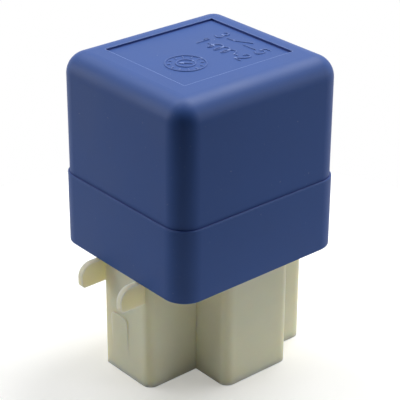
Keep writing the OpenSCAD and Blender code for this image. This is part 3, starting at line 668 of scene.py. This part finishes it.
# the coil: a lead, loops that lean over each other, and a lead
LOOPS, LOOP_FROM, LOOP_TO, LOOP_HALF, LOOP_STEPS = 3, 1.45, -2.45, 0.95, 24
LEAN = 0.25                                   # mm that a loop leans to each side
coil_sign = []
for i in range(LOOPS * LOOP_STEPS + 1):
    turn = 2 * math.pi * i / LOOP_STEPS
    drift = LOOP_FROM + (LOOP_TO - LOOP_FROM) * i / (LOOPS * LOOP_STEPS)
    coil_sign.append((COIL_ROW - LOOP_HALF * math.sin(turn),
                      drift + 2 * LEAN * (1 - math.cos(turn)) - LEAN, panel_floor))
strokes.append([(COIL_ROW, 2.4, panel_floor), (COIL_ROW, LOOP_FROM - LEAN, panel_floor)])
strokes.append(coil_sign)
strokes.append([(COIL_ROW, LOOP_TO - LEAN, panel_floor), (COIL_ROW, -3.3, panel_floor)])

shape = bmesh.new()
for line in strokes:
    sweep(shape, [Vector(p) * MM for p in line], RIB * MM)
finish_piece("wiring_plan", shape, cap_pbt)

# %% [markdown]
# A mould usually holds a small turned insert that tells the month of making: a ring, a
# circle of ticks and an arrow. It leaves the same marks on any maker's part, so it fills
# the place beside the plan without naming anybody.

# %% Date dial
DIAL_X, DIAL_Y = -3.4, -1.2
RING, INNER_RING, TICK_FROM, TICK_TO = 2.7, 1.25, 2.0, 2.35   # radii, mm
MONTH = 2 * math.pi / 12
ARROW, ARROW_TIP, BARBS, BARB_TO = 0.8, 4.5, (3.4, 5.6), 0.35 # radius, months, months, radius


def on_dial(angle, radius):
    """A point on the dial, in metres."""
    return Vector((DIAL_X + radius * math.cos(angle), DIAL_Y + radius * math.sin(angle),
                   panel_floor)) * MM


shape = bmesh.new()
for radius in (RING, INNER_RING):
    sweep(shape, [on_dial(2 * math.pi * i / 64, radius) for i in range(65)], RIB * MM)
for i in range(12):
    sweep(shape, [on_dial(MONTH * i, TICK_FROM), on_dial(MONTH * i, TICK_TO)], RIB * MM * 0.8)
arrow_tip = on_dial(MONTH * ARROW_TIP, ARROW)
sweep(shape, [on_dial(MONTH * (ARROW_TIP + 6), ARROW), arrow_tip], RIB * MM)
for barb in BARBS:
    sweep(shape, [arrow_tip, on_dial(MONTH * barb, BARB_TO)], RIB * MM)
finish_piece("date_dial", shape, cap_pbt)

# %% [markdown]
# ## Blade numbers in the socket
# The same four numbers stand on the socket's floor beside their blades, where a fitter
# looks for them. Seen from below, left and right change places, so reading goes to -X.

# %% Numbers beside the blades
SOCKET_FLOOR = 16.9                           # mm above the mouth
NUMBER_WIDE, NUMBER_TALL = 0.85, 1.35
shape = bmesh.new()
for digit, x, y in (("1", -10.7, -0.4), ("2", 10.35, -0.4), ("3", 0.9, -9.15), ("5", 0.9, 9.0)):
    for line in digit_lines(digit, (x, y, SOCKET_FLOOR), NUMBER_WIDE, NUMBER_TALL,
                            (-1, 0, 0), (0, 1, 0)):
        sweep(shape, [p * MM for p in line], RIB * MM)
finish_piece("socket_numbers", shape, ivory_nylon)
blade_low = box_in_mm("terminal_1")[0].z
print("blade tips are", round(SOCKET_FLOOR - blade_low, 1), "mm below the socket's floor")

# %% [markdown]
# ## Metals
# Every metal piece here is stamped from strip, turned from bar or drawn through a die, so
# its surface has fine lines along one direction, a drift in brightness, and edges that
# the tumbling barrel has rounded and polished. A rounded edge is where the bevelled
# direction of a surface leaves its true one. Rolling lines are a few hundredths of a
# millimetre apart, too fine to show, so they are drawn at about a tenth. The function
# takes the real metal's colour and how glossy its plating is.

# %% Finish for metal
STAIN_MM, STAINED = 2.5, 0.8                  # size of the dull patches, and how bright they are


def worked_metal(name, code, edge_code, line_mm, run_mm, depth_mm, roughness, run="X",
                 edge_mm=0.12):
    """Metal with lines line_mm apart that run for about run_mm along an axis."""
    made, tree = new_material(name)
    place = add(tree, "ShaderNodeTexCoord").outputs["Object"]
    fine, long = 1 / (line_mm * MM), 1 / (run_mm * MM)
    stretch = add(tree, "ShaderNodeVectorMath",
                  {0: place, 1: [long if axis == run else fine for axis in "XYZ"]},
                  operation="MULTIPLY")
    lines = add(tree, "ShaderNodeTexNoise",
                {"Vector": stretch.outputs[0], "Scale": 1.0, "Detail": 3.0})
    stains = add(tree, "ShaderNodeTexNoise",
                 {"Vector": place, "Scale": 1 / (STAIN_MM * MM), "Detail": 4.0})

    metal = linear(code)
    tone = add(tree, "ShaderNodeMix", {0: stains.outputs["Fac"],
                                       6: shaded(metal, [STAINED] * 3), 7: metal},
               data_type="RGBA")
    soft = add(tree, "ShaderNodeBevel", {"Radius": edge_mm * MM}, samples=EDGE_RAYS)
    true = add(tree, "ShaderNodeNewGeometry").outputs["Normal"]
    agree = add(tree, "ShaderNodeVectorMath", {0: soft.outputs[0], 1: true},
                operation="DOT_PRODUCT")
    edge = add(tree, "ShaderNodeMapRange",
               {"Value": agree.outputs["Value"], "From Min": 0.995, "From Max": 0.85,
                "To Min": 0.0, "To Max": 0.9})
    polished = add(tree, "ShaderNodeMix", {0: edge.outputs[0], 6: tone.outputs[2],
                                           7: linear(edge_code)}, data_type="RGBA")
    gloss = add(tree, "ShaderNodeMapRange",
                {"Value": stains.outputs["Fac"], "From Min": NOISE_LOW, "From Max": NOISE_HIGH,
                 "To Min": roughness + 0.08, "To Max": roughness - 0.05})
    bump = add(tree, "ShaderNodeBump",
               {"Height": lines.outputs["Fac"], "Distance": depth_mm * MM, "Strength": 1.0,
                "Normal": soft.outputs[0]})
    shader = add(tree, "ShaderNodeBsdfPrincipled",
                 {"Base Color": polished.outputs[2], "Metallic": 1.0,
                  "Roughness": gloss.outputs[0], "Normal": bump.outputs[0]})
    add(tree, "ShaderNodeOutputMaterial", {"Surface": shader.outputs[0]})
    return made


print("dull patches of", STAIN_MM, "mm")

# %% [markdown]
# ### Which metal goes where
# The blades are tin-plated brass: a soft grey-white with brass showing at sheared edges.
# The yoke, core and armature are soft iron, zinc plated, a cooler and duller grey. The
# contact spring is phosphor bronze, pinkish gold. The contacts are silver alloy, almost
# white. The rivets are steel, polished by the tool that sets them.

# %% Metal finishes on the CAD pieces
METALS = (
    # name, colour, edge, line, run, depth, roughness, direction; then the nodes
    (("tin_plated_brass", "C9C8C2", "CDB98A", 0.1, 4, 0.004, 0.3, "Z"),
     ("terminal_1", "terminal_2", "terminal_3", "terminal_5")),
    (("zinc_plated_iron", "AEB3B6", "C6CACC", 0.12, 3, 0.006, 0.38, "Z"), ("yoke", "core")),
    (("zinc_plated_armature", "B2B7BA", "CACDCE", 0.12, 3, 0.006, 0.36, "Y"), ("armature",)),
    (("set_steel_rivet", "BDBEBE", "D6D6D4", 0.1, 1, 0.004, 0.28, "X"),
     ("terminal_rivet", "contact_spring_rivets")),
    (("rolled_phosphor_bronze", "C79A6B", "DDB78C", 0.1, 4, 0.003, 0.3, "Y"),
     ("contact_spring",)),
    (("silver_contact_alloy", "E0DED8", "EDEBE6", 0.08, 0.6, 0.003, 0.3, "X"),
     ("moving_contact", "fixed_contact")),
)
for recipe, nodes in METALS:
    wear(worked_metal(*recipe), *nodes)
print("metals:", [recipe[0] for recipe, nodes in METALS])

# %% [markdown]
# ## The winding
# Enamelled copper wire is laid turn by turn, and the top layer shows every one. The real
# wire is about 0.1 mm; at that pitch the turns could not be told apart, so it is drawn at
# 0.22 mm. The winding is one long helix over a plain sleeve that closes the gaps. Enamel
# is a clear amber coat over the copper, which is what makes a coil look wet and brown.

# %% Enamelled copper
TURN_PITCH = 0.22                             # mm between two turns
BAND_MM = 6                                   # how long a tone lasts along the wire

enamel, tree = new_material("enamelled_copper_wire")
place = add(tree, "ShaderNodeTexCoord").outputs["Object"]
along = 1 / (BAND_MM * MM)
bands = add(tree, "ShaderNodeVectorMath",
            {0: place, 1: (along, along, 1 / (TURN_PITCH * 2 * MM))}, operation="MULTIPLY")
turns_tone = add(tree, "ShaderNodeTexNoise",
                 {"Vector": bands.outputs[0], "Scale": 1.0, "Detail": 2.0})
tone = add(tree, "ShaderNodeMix", {0: turns_tone.outputs["Fac"], 6: linear("6E3318"),
                                   7: linear("B5683A")}, data_type="RGBA")
shader = add(tree, "ShaderNodeBsdfPrincipled",
             {"Base Color": tone.outputs[2], "Metallic": 1.0, "Roughness": 0.32,
              "Coat Weight": 0.6, "Coat Roughness": 0.15, "Coat Tint": linear("F2C9A0")})
add(tree, "ShaderNodeOutputMaterial", {"Surface": shader.outputs[0]})
print("enamel:", enamel.name)

# %% [markdown]
# The sleeve under the turns is a body of revolution, as the solder joints are later: a
# closed outline carried round an axis. The winding itself is swept along a helix.

# %% Body of revolution
ROUND = 48                                    # sides of a turned piece


def lathe(shape, profile, middle=(0, 0, 0), axis="Z", segments=ROUND):
    """Adds a body of revolution. profile is a closed line of (radius, height) in mm."""
    to_axis = {"Z": Matrix.Identity(3), "X": Matrix.Rotation(math.pi / 2, 3, "Y")}[axis]
    rings = []
    for k in range(segments):
        turn = 2 * math.pi * k / segments
        rings.append([shape.verts.new((Vector(middle) + to_axis @ Vector(
            (r * math.cos(turn), r * math.sin(turn), h))) * MM) for r, h in profile])
    steps = len(profile)
    for a, b in zip(rings, rings[1:] + rings[:1]):
        for i in range(steps):
            n = (i + 1) % steps
            shape.faces.new((a[i], b[i], b[n], a[n]))


print("a turned piece has", ROUND, "sides")

# %% Winding
TUBE = 4.1                                    # mm, just outside the bobbin's tube
SLEEVE = 1.4                                  # how deep the sleeve lies, in wire radii
PER_TURN = 30
coil_low, coil_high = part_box("coil")
outer, bottom, top = coil_high.x / MM, coil_low.z / MM, coil_high.z / MM
wire = TURN_PITCH / 2
count = int((top - bottom - 2 * wire) / TURN_PITCH)
start = (top + bottom - count * TURN_PITCH) / 2
helix = []
for i in range(count * PER_TURN + 1):
    turn = 2 * math.pi * i / PER_TURN
    helix.append(Vector(((outer - wire) * math.cos(turn), (outer - wire) * math.sin(turn),
                         start + TURN_PITCH * i / PER_TURN)) * MM)
shape = bmesh.new()
sweep(shape, helix, wire * MM, sides=5)
sleeve = outer - wire * SLEEVE
lathe(shape, [(TUBE, bottom), (sleeve, bottom), (sleeve, top), (TUBE, top)])
finish_piece("wound_wire", shape, enamel, instead_of=("coil",))
print(count, "turns in the top layer")

# %% [markdown]
# The two ends of the wire leave the winding, cross to the coil blades' tags and are
# soldered there. The CAD lays them as short bent lines; here they run smoothly.

# %% Wire ends
END_RADIUS = 0.11                             # mm, as thick as the winding's wire
for number, side in (("1", -1), ("2", 1)):
    low, high = box_in_mm("lead_wire_" + number)
    near_x, far_x = sorted((abs(low.x), abs(high.x)))
    solder_low, solder_high = box_in_mm("solder_" + number)
    solder_z = (solder_low.z + solder_high.z) / 2
    # out of the winding, over the flange's rim, and into the middle of the solder
    route = [(near_x + 0.05, high.y - 0.15, low.z + 0.15),
             (near_x + 0.4, high.y - 0.15, low.z + 0.25),
             (near_x + 1.3, high.y - 0.35, low.z + 0.75),
             (far_x - 0.7, low.y + 0.35, solder_z - 0.15),
             (far_x - 0.1, low.y + 0.15, solder_z)]
    shape = bmesh.new()
    line = [Vector((side * x, y, z)) * MM for x, y, z in through(route, 6)]
    sweep(shape, line, END_RADIUS * MM, sides=8)
    finish_piece("wire_end_" + number, shape, enamel,
                 instead_of=("lead_wire_" + number,))

# %% [markdown]
# ## Solder joints
# Good solder wets the tag and climbs the wire in a hollow curve. A body of revolution
# round the wire gives that curve: wide and thin where it meets the tag, narrow along the
# wire. The tag is 0.8 mm thick and stands in the middle of it. Tin solder is bright when
# it freezes and frosts a little where it was last liquid.

# %% Frosted tin solder
FROST_MM, FROST_DEEP = 0.3, 0.02
soft_solder, tree = new_material("frosted_tin_solder")
place = add(tree, "ShaderNodeTexCoord").outputs["Object"]
frost = add(tree, "ShaderNodeTexNoise",
            {"Vector": place, "Scale": 1 / (FROST_MM * MM), "Detail": 4.0}).outputs["Fac"]
tone = add(tree, "ShaderNodeMix", {0: frost, 6: linear("B4B7B9"), 7: linear("E2E4E4")},
           data_type="RGBA")
gloss = add(tree, "ShaderNodeMapRange", {"Value": frost, "From Min": 0.35, "From Max": 0.65,
                                         "To Min": 0.15, "To Max": 0.4})
bump = add(tree, "ShaderNodeBump",
           {"Height": frost, "Distance": FROST_DEEP * MM, "Strength": 1.0})
shader = add(tree, "ShaderNodeBsdfPrincipled",
             {"Base Color": tone.outputs[2], "Metallic": 1.0, "Roughness": gloss.outputs[0],
              "Normal": bump.outputs[0]})
add(tree, "ShaderNodeOutputMaterial", {"Surface": shader.outputs[0]})
print("solder:", soft_solder.name)

# %% Solder joints
TAG_HALF = 0.4                                # mm, half the tag's thickness
HOLLOW = ((0.05, 0.86), (0.14, 0.58), (0.27, 0.36), (0.4, 0.24))      # mm off the tag, width
for number in ("1", "2"):
    low, high = box_in_mm("solder_" + number)
    middle = (low + high) / 2
    reach = (high.x - low.x) / 2
    wide = (high.z - low.z) / 2
    hollow = [(TAG_HALF, wide)] + [(TAG_HALF + off, wide * share) for off, share in HOLLOW]
    hollow.append((reach, wide * 0.12))
    rim = [(r, -h) for h, r in reversed(hollow)]
    profile = [(0.001, -reach)] + rim + [(r, h) for h, r in hollow] + [(0.001, reach)]
    shape = bmesh.new()
    lathe(shape, profile, middle, axis="X", segments=32)
    finish_piece("solder_joint_" + number, shape, soft_solder,
                 instead_of=("solder_" + number,))

# %% [markdown]
# ## Flexible lead
# The moving contact gets its current through a loose copper rope, so that nothing rubs in
# the hinge. Twelve strands are laid round a core with one turn in about five millimetres,
# and both ends are pressed flat where they are welded. The lead crosses the hinge, from the
# blade below to the spring above. Bare copper tarnishes in patches, from pink to brown.

# %% Bare copper
TARNISH_MM = 0.8
bare_copper, tree = new_material("bare_copper_strand")
place = add(tree, "ShaderNodeTexCoord").outputs["Object"]
tarnish = add(tree, "ShaderNodeTexNoise",
              {"Vector": place, "Scale": 1 / (TARNISH_MM * MM), "Detail": 4.0}).outputs["Fac"]
tone = add(tree, "ShaderNodeMix", {0: tarnish, 6: linear("9A5A3C"), 7: linear("E0A07C")},
           data_type="RGBA")
gloss = add(tree, "ShaderNodeMapRange",
            {"Value": tarnish, "From Min": NOISE_LOW, "From Max": NOISE_HIGH,
             "To Min": 0.45, "To Max": 0.25})
shader = add(tree, "ShaderNodeBsdfPrincipled",
             {"Base Color": tone.outputs[2], "Metallic": 1.0, "Roughness": gloss.outputs[0]})
add(tree, "ShaderNodeOutputMaterial", {"Surface": shader.outputs[0]})
print("copper:", bare_copper.name)

# %% Middle line of the rope
LEAD_X = 4.05
LEAD_ROUTE = [(-9.65, 33.95), (-9.65, 35.2), (-9.65, 36.4), (-9.75, 37.6), (-9.65, 39.0),
              (-9.2, 40.55), (-8.45, 41.25), (-7.45, 41.45), (-6.45, 41.2), (-5.6, 40.84),
              (-4.7, 40.72), (-3.95, 40.76)]  # Y and Z, from terminal 3 over to the spring
middle_line = through([Vector((LEAD_X, y, z)) * MM for y, z in LEAD_ROUTE], 7)
last = len(middle_line) - 1
run = [0.0]
for a, b in zip(middle_line, middle_line[1:]):
    run.append(run[-1] + (b - a).length / MM)
whole = run[-1]
print("lead", round(whole, 1), "mm long")

# %% [markdown]
# Every strand is the middle line shifted sideways, by an angle that grows along the rope.
# Near its ends the whole rope is squeezed flat.

# %% Rope
STRANDS, STRAND_R, LAY_R, LAY = 12, 0.135, 0.5, 5.0   # radii and one turn's length in mm
FLAT = 1.6                                    # mm of each end that is pressed


def pressed(i):
    """How ring i is flattened: towards the blade below, onto the spring above."""
    lower = max(0.0, 1 - run[i] / FLAT)
    upper = max(0.0, 1 - (whole - run[i]) / FLAT)
    if lower > upper:
        return Vector((0, 1, 0)), 0.5 * lower
    return Vector((0, 0, 1)), 0.5 * upper


shape = bmesh.new()
sideways = Vector((1, 0, 0))
for s in range(STRANDS + 1):                  # strand 0 is the core
    strand = []
    for i, centre in enumerate(middle_line):
        way = (middle_line[min(i + 1, last)] - middle_line[max(i - 1, 0)]).normalized()
        across = way.cross(sideways).normalized()
        turn = 2 * math.pi * (s / STRANDS + run[i] / LAY)
        offset = Vector()
        if s:
            offset = LAY_R * MM * (math.cos(turn) * sideways + math.sin(turn) * across)
        flat_way, share = pressed(i)
        strand.append(centre + offset - flat_way * offset.dot(flat_way) * share)
    thick, sides = (STRAND_R, 6) if s else (LAY_R, 12)
    sweep(shape, strand, thick * MM, sides=sides, press=pressed)
rope = finish_piece("stranded_lead", shape, bare_copper, body=None,
                    instead_of=("pigtail",))
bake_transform(rope)

# %% [markdown]
# ## Return spring
# A tension spring behind the yoke pulls the armature open. It is wound from hard drawn
# wire of 0.36 mm and hangs stretched, so its turns stand apart, and a hook at each end
# catches in a hole. Drawn wire is smooth and fairly bright. As the armature closes the
# spring is stretched a little more.

# %% Spring wire
OIL_MM, SCRATCH_MM, SCRATCH_DEEP = 1.2, 0.1, 0.004
spring_wire, tree = new_material("hard_drawn_spring_wire")
place = add(tree, "ShaderNodeTexCoord").outputs["Object"]
oil = add(tree, "ShaderNodeTexNoise",
          {"Vector": place, "Scale": 1 / (OIL_MM * MM), "Detail": 3.0}).outputs["Fac"]
scratch = add(tree, "ShaderNodeTexNoise",
              {"Vector": place, "Scale": 1 / (SCRATCH_MM * MM), "Detail": 2.0}).outputs["Fac"]
tone = add(tree, "ShaderNodeMix", {0: oil, 6: linear("8E9092"), 7: linear("C6C8C9")},
           data_type="RGBA")
gloss = add(tree, "ShaderNodeMapRange",
            {"Value": oil, "From Min": NOISE_LOW, "From Max": NOISE_HIGH,
             "To Min": 0.35, "To Max": 0.2})
bump = add(tree, "ShaderNodeBump",
           {"Height": scratch, "Distance": SCRATCH_DEEP * MM, "Strength": 1.0})
shader = add(tree, "ShaderNodeBsdfPrincipled",
             {"Base Color": tone.outputs[2], "Metallic": 1.0, "Roughness": gloss.outputs[0],
              "Normal": bump.outputs[0]})
add(tree, "ShaderNodeOutputMaterial", {"Surface": shader.outputs[0]})
print("spring wire:", spring_wire.name)

# %% [markdown]
# One line runs through the whole spring: up the lower hook, round the turns and over the
# upper hook. It is smoothed once, and the wire is swept along it.

# %% Middle line of the spring
COIL_R, TURNS, HOOK, SPRING_STEPS = 0.92, 8, 0.6, 20
SPRING_Y, LUG_LOW, TAIL_TOP = -9.9, 26.0, 39.53
first, final = LUG_LOW + 1.9, 36.4            # mm, where the coils begin and end
hook_y = SPRING_Y - HOOK
low_eye, high_eye = LUG_LOW - 0.35, TAIL_TOP + 0.3


def half_ring(middle_z, begin):
    """A hook: half a ring round the end of the spring, from that angle on."""
    angles = [begin + math.pi * k / 6 for k in range(7)]
    return [(0, hook_y + HOOK * math.cos(a), middle_z + HOOK * math.sin(a)) for a in angles]


line = [(0, hook_y - HOOK, low_eye + 1), (0, hook_y - HOOK, low_eye + 0.5)]
line += half_ring(low_eye, math.pi)
line += [(0, SPRING_Y, first - 0.9), (0.3, SPRING_Y, first - 0.45)]
for i in range(TURNS * SPRING_STEPS + 1):
    turn = 2 * math.pi * i / SPRING_STEPS
    line.append((COIL_R * math.cos(turn), SPRING_Y + COIL_R * math.sin(turn),
                 first + (final - first) * i / (TURNS * SPRING_STEPS)))
line += [(0.3, SPRING_Y, final + 0.45), (0, SPRING_Y, final + 0.9)]
line += half_ring(high_eye, 0)
line += [(0, hook_y - HOOK, high_eye - 0.5), (0, hook_y - HOOK, high_eye - 1)]
print(TURNS, "turns between", first, "and", final, "mm")

# %% Spring
WIRE_R = 0.18                                 # mm
shape = bmesh.new()
sweep(shape, [p * MM for p in through(line, 2)], WIRE_R * MM, sides=8)
spring = finish_piece("wound_return_spring", shape, spring_wire, body=None,
                      instead_of=("return_spring",))
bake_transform(spring)

# %% [markdown]
# ## Sizes
# The box of everything shown is printed here, as the CAD's box was at the start.

# %% Write the sizes
low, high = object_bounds()
print("visual box in mm:", [round(v / MM, 2) for v in (high - low)])
